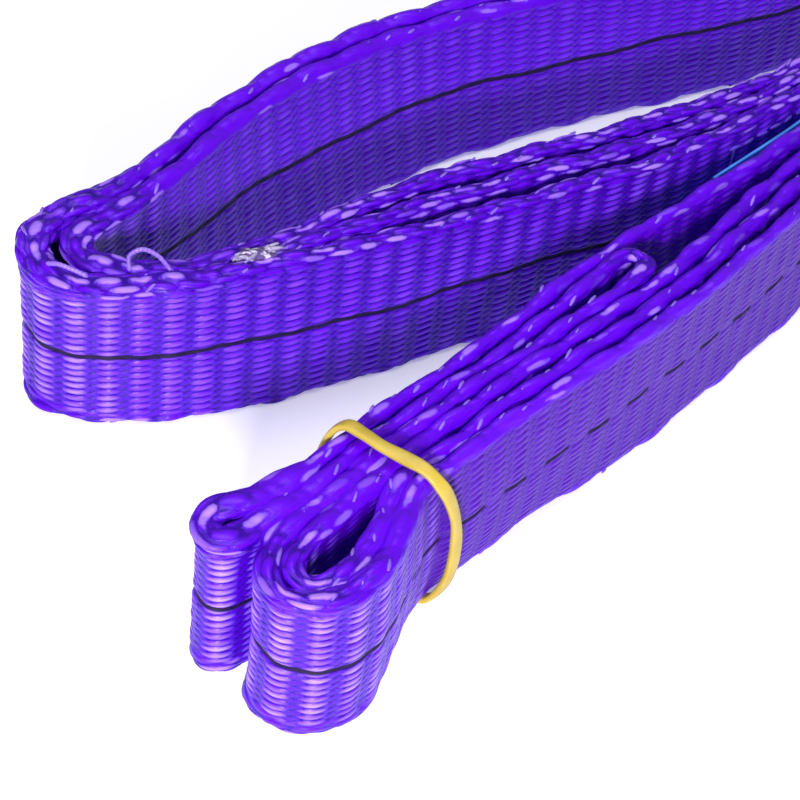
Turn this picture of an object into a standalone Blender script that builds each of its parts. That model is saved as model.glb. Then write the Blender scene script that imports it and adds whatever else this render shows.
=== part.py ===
# Flat web sling, one tonne class, folded for storage and held by a rubber band.
#
# One strip of 30 mm webbing makes the whole sling. It runs from its first heat-cut end
# round the body and both eyes, and its second end overlaps the first in a sewn lap.
# The strip stands on its edge, so its route is drawn in plan, in millimetres, and
# every stretch of it is a ribbon of the same height and thickness. The route stays one
# smooth curve, cut into named stretches where it folds or where a fold can open.
#
# Frame: +X along the folded runs, +Z up, origin under the middle of the whole outline.

import math

import bmesh
import bpy
from mathutils import Vector
from mathutils.geometry import interpolate_bezier

MM = 0.001

# Webbing
WEB_WIDTH = 30.0            # height of the strip, as it stands on its edge
WEB_THICK = 2.4             # one ply, pressed
CUT_GAP = 0.3               # between two stretches of the strip
HINGE_GAP = 1.3             # at the neck of the second eye, which swings both ways
PLAN_ORIGIN = (200.38, -0.54)  # middle of the outline, taken off every plan point

# Turns, in plan: centre and the radius of the ply's middle line
RIGHT_TURN = (236.0, -20.3)
RIGHT_TURN_OUTER_R = 10.6
RIGHT_TURN_INNER_R = 7.7
EYE_TURN = (164.0, -20.3)
EYE_TURN_R = 4.5
EYE_FOLD = (28.0, -22.0)
EYE_FOLD_R = 2.3

# Joint axes, in plan: each stands at the outer skin of its fold, so that it can open
RIGHT_FOLD_AXIS = (247.9, -20.3)
LEFT_FOLD_AXIS = (-46.1, 38.6)
EYE_NECK_AXIS = (254.0, -0.3)
LABEL_AXIS = (122.0, -14.75)
BAND_CENTRE = (-33.4, -25.05)

# The band pinches the bundle, whose lower edges lift off the ground under it
LIFT = 1.7
LIFT_FULL = (-42.0, -4.0)   # x range that is fully lifted
LIFT_FADE = (12.0, 20.0)    # length of the slope before and after it
TOP_DIP = 0.6

# Rubber band
BAND_WIDTH = 2.0
BAND_THICK = 1.1
BAND_HALF_Y = 8.8           # inside, half of the bundle's thickness and its clearance
BAND_LOW = 1.4
BAND_HIGH = 29.75
BAND_CORNER = 1.0
BAND_SKEW = 2.2             # its far side lies this much further left than its middle

# Label
IDENTITY_LABEL_THICK = 0.6
IDENTITY_LABEL_Z = (1.5, 29.0)

# Sewing: raised threads, drawn as rows along the strip
THREAD_WIDTH = 0.7
THREAD_THICK = 0.25
THREAD_GAP = 0.27
ROW_HEIGHTS = (4.5, 9.5, 14.0, 20.5, 25.5)

# Sampling of the smooth route
SPAN_STEPS = 24
END_STEP = 0.6              # first and last step of a stretch
MAX_STEP = 12.0
MAX_TURN = math.radians(14.0)


def arc(centre, radius, start_deg, end_deg, count=6):
    """Points of a circular turn, both ends included."""
    points = []
    for i in range(count + 1):
        angle = math.radians(start_deg + (end_deg - start_deg) * i / count)
        points.append((centre[0] + radius * math.cos(angle),
                       centre[1] + radius * math.sin(angle)))
    return points


# The strip, from its first cut end to its second. Each stretch starts where the one
# before it ends, so its first point is not repeated.
STRIP = [
    ("front_run_lap_ply", "front_strand",
     [(-15.2, 17.75), (-9, 15.9), (3.4, 12.7), (14.3, 10.2), (25, 6.9), (35.4, 3.5), (47.7, -0.8),
      (60.8, -4.2), (75.5, -7.2), (90, -9.0), (115, -10.0), (140, -10.1), (180, -9.8),
      (205, -9.7), (233, -9.7), (236, -9.7)]),
    ("right_turn_outer_far", "front_strand", arc(RIGHT_TURN, RIGHT_TURN_OUTER_R, 90, 0)[1:]),
    ("right_turn_outer_near", "banded_bundle", arc(RIGHT_TURN, RIGHT_TURN_OUTER_R, 0, -90)[1:]),
    ("second_run_outer_ply", "banded_bundle",
     [(233, -30.9), (205, -30.8), (178, -30.8), (164, -30.7), (150, -30.2), (130, -29.6),
      (95, -29.8), (75, -30.6), (60, -31.6), (46, -32.5), (32, -33.2), (18, -33.3), (5, -32.8),
      (-8, -32.0), (-20, -31.8), (-26, -31.8), (-33, -31.95)]),
    ("left_turn_outer_ply", "banded_bundle",
     [(-36.5, -33.0), (-41.7, -35.5), (-46.8, -38.0), (-52.3, -39.8), (-57.6, -39.6),
      (-60.6, -38.0), (-62.6, -35.4), (-63.5, -32.6), (-62.7, -29.4), (-60.7, -27.2),
      (-58, -25.9), (-53, -25.3), (-46, -24.7), (-38, -23.9), (-33, -23.7)]),
    ("first_run_outer_ply", "banded_bundle",
     [(-26, -23.55), (-20, -23.5), (-8, -23.55), (5, -23.9), (18, -24.25), (25, -24.3), (28, -24.3)]),
    ("eye_1_right_fold", "banded_bundle", arc(EYE_FOLD, EYE_FOLD_R, -90, 90)[1:]),
    ("eye_1_middle_leg", "banded_bundle",
     [(25, -19.72), (18, -19.9), (5, -20.5), (-8, -20.75), (-20, -20.75), (-26, -20.8),
      (-33, -20.95), (-38, -21.3), (-46, -21.95)]),
    ("eye_1_left_fold", "banded_bundle",
     [(-52, -21.9), (-58, -22.1), (-61.8, -21.6), (-63.7, -19.6), (-62.9, -17.4), (-60.3, -16.5),
      (-56, -17.6), (-51, -18.75), (-46, -19.2)]),
    ("eye_1_far_leg", "banded_bundle",
     [(-38, -18.55), (-33, -18.2), (-26, -18.05), (-20, -18.0), (-8, -18.0), (5, -17.6),
      (18, -16.95), (25, -16.85), (32, -16.9), (46, -17.6), (60, -18.9), (75, -19.3), (95, -19.0),
      (112, -18.3), (130, -17.4), (148, -16.3), (161, -15.8), (164, -15.8)]),
    ("eye_1_far_turn", "banded_bundle", arc(EYE_TURN, EYE_TURN_R, 90, -90, 10)[1:]),
    ("first_run_inner_ply", "banded_bundle",
     [(161, -24.8), (148, -24.2), (130, -23.2), (112, -22.7), (95, -22.6), (75, -22.9),
      (60, -24.0), (46, -25.5), (32, -26.9), (25, -27.15), (18, -27.15), (5, -26.8), (-8, -26.3),
      (-20, -26.25), (-26, -26.3), (-33, -26.45)]),
    ("left_turn_inner_ply", "banded_bundle",
     [(-38, -26.75), (-46, -27.5), (-52, -28.2), (-57, -29.3), (-59.6, -31.4), (-60, -33.8),
      (-58, -36.2), (-53.4, -36.8), (-47.5, -35.0), (-42.5, -32.6), (-37.5, -30.2), (-33, -29.2)]),
    ("second_run_inner_ply", "banded_bundle",
     [(-26, -29.05), (-20, -29.0), (-8, -29.2), (5, -30.0), (18, -30.4), (32, -30.2), (46, -29.0),
      (60, -27.8), (75, -26.8), (95, -26.5), (130, -26.6), (150, -27.2), (164, -27.8),
      (178, -27.9), (205, -27.9), (233, -28.0), (236, -28.0)]),
    ("right_turn_inner_near", "banded_bundle", arc(RIGHT_TURN, RIGHT_TURN_INNER_R, -90, 0)[1:]),
    ("right_turn_inner_far", "front_strand", arc(RIGHT_TURN, RIGHT_TURN_INNER_R, 0, 90)[1:]),
    ("front_run_outer_ply", "front_strand",
     [(233, -12.6), (205, -12.6), (180, -12.7), (164, -12.8), (140, -13.0), (115, -13.0),
      (90, -12.2), (75.5, -11.1), (60.8, -9.0), (47.7, -6.3), (35.4, -2.2), (25, 1.0),
      (14.3, 4.7), (3.4, 8.0), (-5.9, 11.4), (-15.5, 14.9), (-24.4, 18.9)]),
    ("left_loop_outer_front", "front_strand",
     [(-30, 22.0), (-35.4, 25.6), (-39.6, 28.9), (-42.4, 32.0), (-44.2, 35.4), (-44.8, 38.6)]),
    ("left_loop_outer_back", "back_strand",
     [(-43.6, 42.4), (-40, 45.3), (-34.5, 46.3), (-28, 46.4), (-21, 46.2)]),
    ("back_run_outer_ply", "back_strand",
     [(-15.5, 46.9), (-10, 48.3), (-5, 49.6), (3, 50.8), (15, 51.7), (28, 51.6), (40, 50.4),
      (52, 47.9), (66, 43.4), (80, 38.4), (92, 33.6), (104, 28.8), (117, 23.6), (132, 18.6),
      (150, 13.3), (170, 8.6), (190, 5.2), (210, 3.0), (230, 1.8), (248, 1.3), (254, 1.2)]),
    ("eye_2_far_leg", "second_eye",
     [(260, 1.6), (275, 5.2), (300, 15.5), (332, 30.5), (367, 43)]),
    ("eye_2_bow", "second_eye",
     [(401, 49.4), (433, 42.5), (456, 22.4), (464.5, -1.7), (456, -26), (433, -46), (401, -53),
      (367, -46.6)]),
    ("eye_2_near_leg", "second_eye",
     [(332, -34), (300, -19), (275, -7.7), (260, -2.4), (254, -1.8)]),
    ("back_run_inner_ply", "back_strand",
     [(248, -1.75), (230, -1.2), (210, 0.0), (190, 2.2), (170, 5.6), (150, 10.3), (131, 15.7),
      (116.4, 20.2), (103.7, 25.2), (91, 30.2), (79, 35.2), (66.7, 39.6), (56, 43.0), (44, 45.7),
      (32, 47.0), (22, 47.3), (11, 47.1), (2.6, 46.2), (-5, 44.9), (-11, 43.7), (-20, 42.4)]),
    ("left_loop_inner_back", "back_strand",
     [(-25, 42.3), (-30, 42.3), (-34.6, 41.2), (-37.4, 38.6)]),
    ("left_loop_inner_front", "front_strand",
     [(-38.1, 35.2), (-36.4, 31.2), (-33.4, 27.8), (-29.5, 25.1), (-24.4, 23.2)]),
    ("front_run_inner_ply", "front_strand",
     [(-15.5, 20.7), (-5.9, 18.5), (3.4, 16.9), (14.3, 14.8), (25, 11.7), (35.4, 8.3),
      (47.7, 4.0), (60.8, 0.1), (75.5, -3.4), (90, -5.8), (115, -7.1), (140, -7.2)]),
]

IDENTITY_LABEL_ROUTE = [(56.5, -16.6), (68, -16.9), (81, -16.8), (95, -16.2), (106, -15.4),
                        (114, -14.85), (122, -14.75)]
IDENTITY_SEAM_X = (118.2, 119.2)

# Sewn patterns: node, body, stretch that carries it, x range, and the side: +1 is its +Y face
SEAMS = [
    ("lap_stitching_near", "front_strand", "front_run_outer_ply", (70.0, 98.0), -1),
    ("lap_stitching_far", "front_strand", "front_run_inner_ply", (72.0, 136.0), 1),
    ("eye_1_stitching_far", "banded_bundle", "first_run_outer_ply", (8.0, 24.0), 1),
    ("eye_1_stitching_near", "banded_bundle", "first_run_inner_ply", (6.0, 24.0), -1),
    ("eye_2_stitching_far", "back_strand", "back_run_outer_ply", (196.0, 246.0), 1),
    ("eye_2_stitching_near", "back_strand", "back_run_inner_ply", (196.0, 246.0), -1),
]


# Plan curves

def smooth_spans(points):
    """One list of dense points for each span of a smooth curve through the given points."""
    knots = [Vector(p) for p in points]
    chords = [(b - a).length for a, b in zip(knots, knots[1:])]
    tangents = [(knots[1] - knots[0]) / chords[0]]
    for i in range(1, len(knots) - 1):
        before = (knots[i] - knots[i - 1]) / chords[i - 1]
        after = (knots[i + 1] - knots[i]) / chords[i]
        mixed = (before * chords[i] + after * chords[i - 1]) / (chords[i] + chords[i - 1])
        tangents.append(mixed)
    tangents.append((knots[-1] - knots[-2]) / chords[-1])
    spans = []
    for i, chord in enumerate(chords):
        handle_a = knots[i] + tangents[i] * chord / 3
        handle_b = knots[i + 1] - tangents[i + 1] * chord / 3
        flat = interpolate_bezier(knots[i].to_3d(), handle_a.to_3d(), handle_b.to_3d(),
                                  knots[i + 1].to_3d(), SPAN_STEPS)
        spans.append([point.to_2d() for point in flat])
    return spans


def dense_curve(points):
    """The smooth curve as one dense polyline."""
    line = []
    for span in smooth_spans(points):
        line.extend(span if not line else span[1:])
    return line


def trimmed(line, start, end):
    """The polyline shortened by a length at each end."""
    for amount in (start, end):
        left = amount
        while left > 0 and (line[1] - line[0]).length <= left:
            left -= (line[1] - line[0]).length
            line = line[1:]
        if left > 0:
            line = [line[0] + (line[1] - line[0]).normalized() * left] + line[1:]
        line = line[::-1]
    return line


def thinned(line):
    """Only the points that the shape needs: closer together where the line turns.

    The first and last steps stay short, so that an end face is square to the line.
    """
    inner = trimmed(line, END_STEP, END_STEP)
    kept = [line[0], inner[0]]
    travelled = 0.0
    turned = 0.0
    for before, here, after in zip(inner, inner[1:], inner[2:]):
        travelled += (here - before).length
        turned += abs((here - before).angle_signed(after - here, 0.0))
        if travelled >= MAX_STEP or turned >= MAX_TURN:
            kept.append(here)
            travelled = 0.0
            turned = 0.0
    if len(kept) > 2 and (inner[-1] - kept[-1]).length < END_STEP:
        kept.pop()
    kept.extend((inner[-1], line[-1]))
    return kept


def beside(line, offset):
    """The polyline moved sideways, to the side of +Y where it runs along X."""
    moved = []
    for i, point in enumerate(line):
        ahead = line[min(i + 1, len(line) - 1)] - line[max(i - 1, 0)]
        side = Vector((-ahead.y, ahead.x)).normalized()
        if side.y < 0:
            side = -side
        moved.append(point + side * offset)
    return moved


def between(line, low_x, high_x):
    """The part of a polyline between two x values."""
    return [point for point in line if low_x <= point.x <= high_x]


def strip_lines():
    """The strip's stretches as dense polylines, by name, cut from one smooth curve."""
    points = []
    spans_of = []
    for name, body, stretch in STRIP:
        first = max(len(points) - 1, 0)
        points.extend(stretch)
        spans_of.append((name, first, len(points) - 1))
    spans = smooth_spans(points)
    lines = {}
    for name, first, last in spans_of:
        line = []
        for span in spans[first:last]:
            line.extend(span if not line else span[1:])
        lines[name] = line
    return lines


# Solids

def ease(value):
    """Smooth step from 0 to 1."""
    value = min(max(value, 0.0), 1.0)
    return value * value * (3.0 - 2.0 * value)


def lift_at(x):
    """Share of the full lift at a place along the bundle."""
    rise = ease((x - LIFT_FULL[0] + LIFT_FADE[0]) / LIFT_FADE[0])
    fall = ease((LIFT_FULL[1] + LIFT_FADE[1] - x) / LIFT_FADE[1])
    return min(rise, fall)


def placed(point, z):
    """A plan point and a height, in the part's frame and in metres."""
    return ((point[0] - PLAN_ORIGIN[0]) * MM, (point[1] - PLAN_ORIGIN[1]) * MM, z * MM)


def ribbon_strips(lines, low, high, pinched=False):
    """Standing strips, one for each plan line: chains of edges extruded upwards."""
    mesh = bmesh.new()
    for line in lines:
        chain = [mesh.verts.new(placed(point, low)) for point in line]
        edges = [mesh.edges.new(pair) for pair in zip(chain, chain[1:])]
        made = bmesh.ops.extrude_edge_only(mesh, edges=edges)["geom"]
        tops = [item for item in made if isinstance(item, bmesh.types.BMVert)]
        bmesh.ops.translate(mesh, verts=tops, vec=(0, 0, (high - low) * MM))
        if pinched:
            for vert in chain:
                vert.co.z += LIFT * MM * lift_at(vert.co.x / MM + PLAN_ORIGIN[0])
            for vert in tops:
                vert.co.z -= TOP_DIP * MM * lift_at(vert.co.x / MM + PLAN_ORIGIN[0])
    bmesh.ops.recalc_face_normals(mesh, faces=mesh.faces)
    return mesh


def finished(name, mesh, material):
    """An object of the scene from a bmesh."""
    data = bpy.data.meshes.new(name)
    mesh.to_mesh(data)
    mesh.free()
    data.materials.append(material)
    thing = bpy.data.objects.new(name, data)
    bpy.context.scene.collection.objects.link(thing)
    return thing


def ribbon(name, lines, thickness, low, high, material, pinched=False):
    """Closed ribbons: standing strips given their thickness evenly on both sides."""
    thing = finished(name, ribbon_strips(lines, low, high, pinched), material)
    wall = thing.modifiers.new("thickness", "SOLIDIFY")
    wall.thickness = thickness * MM
    wall.offset = 0.0
    wall.use_even_offset = True
    return thing


def principled(name, color, roughness, metallic=0.0):
    """A plain material of one colour."""
    material = bpy.data.materials.new(name)
    material.use_nodes = True
    shader = material.node_tree.nodes["Principled BSDF"]
    shader.inputs["Base Color"].default_value = (*color, 1.0)
    shader.inputs["Roughness"].default_value = roughness
    shader.inputs["Metallic"].default_value = metallic
    return material


def joint_empty(name, plan_point, parent=None):
    """An empty on a joint's axis, which the moving pieces hang from."""
    empty = bpy.data.objects.new(name, None)
    bpy.context.scene.collection.objects.link(empty)
    empty.location = placed(plan_point, 0.0)
    if parent:
        attach(empty, parent)
    return empty


def attach(thing, parent):
    """Parent a thing and leave it where it is."""
    bpy.context.view_layer.update()
    thing.parent = parent
    thing.matrix_parent_inverse = parent.matrix_world.inverted()


# The pieces

def make_webbing(lines, material):
    """Every stretch of the strip, by name."""
    made = {}
    for name, body, _ in STRIP:
        start = CUT_GAP / 2
        end = CUT_GAP / 2
        if name in ("eye_2_far_leg", "back_run_inner_ply"):
            start = HINGE_GAP / 2
        if name in ("eye_2_near_leg", "back_run_outer_ply"):
            end = HINGE_GAP / 2
        line = thinned(trimmed(lines[name], start, end))
        pinched = body == "banded_bundle"
        made[name] = (ribbon(name, [line], WEB_THICK, 0.0, WEB_WIDTH, material, pinched), body)
    return made


def seam_line(line, low_x, high_x, side):
    """The plan line of a sewn pattern; its short first and last steps hold the end rows."""
    offset = WEB_THICK / 2 + THREAD_GAP + THREAD_THICK / 2
    return beside(thinned(between(line, low_x, high_x)), offset * side)


def make_seam(name, line, x_range, side, material):
    """A sewn pattern on a ply's face: rows along the strip, closed by a row at each end."""
    path = seam_line(line, x_range[0], x_range[1], side)
    levels = []
    for height in ROW_HEIGHTS:
        levels.extend((height, height + THREAD_WIDTH))
    mesh = bmesh.new()
    grid = [[mesh.verts.new(placed(point, z)) for z in levels] for point in path]
    last_step = len(path) - 2
    for i, (here, ahead) in enumerate(zip(grid, grid[1:])):
        for k in range(len(levels) - 1):
            if k % 2 == 0 or i in (0, last_step):
                mesh.faces.new((here[k], ahead[k], ahead[k + 1], here[k + 1]))
    bmesh.ops.recalc_face_normals(mesh, faces=mesh.faces)
    thing = finished(name, mesh, material)
    wall = thing.modifiers.new("thickness", "SOLIDIFY")
    wall.thickness = THREAD_THICK * MM
    wall.offset = 0.0
    return thing


def make_identity_label(material):
    """The coloured leaf sewn to the front run, lying between it and the bundle."""
    line = thinned(dense_curve(IDENTITY_LABEL_ROUTE))
    low, high = IDENTITY_LABEL_Z
    return ribbon("identity_label", [line], IDENTITY_LABEL_THICK, low, high, material)


def make_label_seam(material):
    """The upright row of thread at the edge of the identity label."""
    low = IDENTITY_LABEL_Z[0] + 1.5
    high = IDENTITY_LABEL_Z[1] - 1.5
    label = beside(dense_curve(IDENTITY_LABEL_ROUTE),
                   -(IDENTITY_LABEL_THICK / 2 + THREAD_GAP + THREAD_THICK / 2))
    row = between(label, *IDENTITY_SEAM_X)
    return ribbon("identity_label_stitching", [row], THREAD_THICK, low, high, material)


def band_route():
    """The rubber band's closed middle line round the bundle, in the part's frame."""
    half_y = BAND_HALF_Y + BAND_THICK / 2
    low = BAND_LOW - BAND_THICK / 2
    high = BAND_HIGH + BAND_THICK / 2
    corner = BAND_CORNER + BAND_THICK / 2
    middle_z = (low + high) / 2
    half_z = (high - low) / 2
    corners = ((1, 1, 0), (-1, 1, 90), (-1, -1, 180), (1, -1, 270))
    route = []
    for side_y, side_z, first in corners:
        centre_y = side_y * (half_y - corner)
        centre_z = side_z * (half_z - corner)
        for step in range(4):
            angle = math.radians(first + 30 * step)
            y = centre_y + corner * math.cos(angle)
            z = centre_z + corner * math.sin(angle)
            x = BAND_CENTRE[0] - BAND_SKEW * y / half_y
            route.append(Vector(placed((x, BAND_CENTRE[1] + y), middle_z + z)))
    return route


def make_band(material):
    """The rubber band: a flat section swept round the bundle."""
    route = band_route()
    middle = sum(route, Vector()) / len(route)
    mesh = bmesh.new()
    rings = []
    for i, point in enumerate(route):
        along = (route[(i + 1) % len(route)] - route[i - 1]).normalized()
        across = Vector((1, 0, 0)) - along * along.x
        across.normalize()
        outward = across.cross(along)
        if outward.dot(point - middle) < 0:
            outward = -outward
        ring = []
        for side, out in ((-1, -1), (1, -1), (1, 1), (-1, 1)):
            offset = across * side * BAND_WIDTH / 2 + outward * out * BAND_THICK / 2
            ring.append(mesh.verts.new(point + offset * MM))
        rings.append(ring)
    for i, ring in enumerate(rings):
        after = rings[(i + 1) % len(rings)]
        for k in range(4):
            mesh.faces.new((ring[k], ring[(k + 1) % 4], after[(k + 1) % 4], after[k]))
    bmesh.ops.recalc_face_normals(mesh, faces=mesh.faces)
    return finished("rubber_band", mesh, material)


def main():
    for thing in list(bpy.data.objects):
        bpy.data.objects.remove(thing, do_unlink=True)

    violet = principled("violet_polyester", (0.10, 0.02, 0.62), 0.55)
    thread = principled("sewing_thread", (0.16, 0.05, 0.70), 0.5)
    blue = principled("blue_label", (0.05, 0.28, 0.85), 0.4)
    rubber = principled("yellow_rubber", (0.72, 0.52, 0.10), 0.5)

    right_fold = joint_empty("front_strand_axis", RIGHT_FOLD_AXIS)
    left_fold = joint_empty("back_strand_axis", LEFT_FOLD_AXIS, right_fold)
    eye_neck = joint_empty("second_eye_axis", EYE_NECK_AXIS, left_fold)
    label_edge = joint_empty("identity_label_axis", LABEL_AXIS, right_fold)
    band_middle = joint_empty("rubber_band_axis", BAND_CENTRE)
    holders = {"front_strand": right_fold, "back_strand": left_fold, "second_eye": eye_neck}

    lines = strip_lines()
    for piece, body in make_webbing(lines, violet).values():
        if body in holders:
            attach(piece, holders[body])

    for name, body, stretch, x_range, side in SEAMS:
        seam = make_seam(name, lines[stretch], x_range, side, thread)
        if body in holders:
            attach(seam, holders[body])

    attach(make_identity_label(blue), label_edge)
    attach(make_label_seam(thread), label_edge)
    attach(make_band(rubber), band_middle)


main()
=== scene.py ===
import math

import bmesh
import bpy
import numpy as np
from mathutils import Euler, Matrix, Vector
from mathutils.geometry import interpolate_bezier


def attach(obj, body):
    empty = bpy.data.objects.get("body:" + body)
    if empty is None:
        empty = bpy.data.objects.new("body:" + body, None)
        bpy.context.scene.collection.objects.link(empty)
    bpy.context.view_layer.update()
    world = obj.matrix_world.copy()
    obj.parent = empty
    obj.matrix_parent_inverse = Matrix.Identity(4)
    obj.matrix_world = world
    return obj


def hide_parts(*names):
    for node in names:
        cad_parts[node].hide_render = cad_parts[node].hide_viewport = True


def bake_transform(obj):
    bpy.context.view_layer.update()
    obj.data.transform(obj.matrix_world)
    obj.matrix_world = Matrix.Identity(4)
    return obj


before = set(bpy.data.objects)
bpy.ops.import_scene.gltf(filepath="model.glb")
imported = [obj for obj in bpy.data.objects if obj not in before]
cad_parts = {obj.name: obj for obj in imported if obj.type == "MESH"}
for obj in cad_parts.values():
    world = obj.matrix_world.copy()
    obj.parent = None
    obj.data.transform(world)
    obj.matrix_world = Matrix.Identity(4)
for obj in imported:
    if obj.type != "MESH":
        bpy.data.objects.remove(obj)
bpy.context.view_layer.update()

# The sling is one strip of webbing standing on its edge. Its plan is drawn in millimetres.
plan = {
    "origin": (200.38, -0.54),   # plan point over the origin
    "metres": 0.001,
    "curveSteps": 24,            # dense points between two plan points
    "sampleStep": 0.25,          # spacing of the evened-out line
}


def toPart(point):   # from plan x, plan y and height in millimetres to metres from the origin
    return Vector((point[0] - plan["origin"][0], point[1] - plan["origin"][1], point[2])) * plan["metres"]


rightTurn = {"centre": (236.0, -20.3), "outer": 10.6, "inner": 7.7}
eyeTurn = {"centre": (164.0, -20.3), "radius": 4.5}
eyeFold = {"centre": (28.0, -22.0), "radius": 2.3}


def arc(centre, radius, startDeg, endDeg, count):
    points = []
    for i in range(count + 1):
        angle = math.radians(startDeg + (endDeg - startDeg) * i / count)
        points.append((centre[0] + radius * math.cos(angle), centre[1] + radius * math.sin(angle)))
    return points


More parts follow.
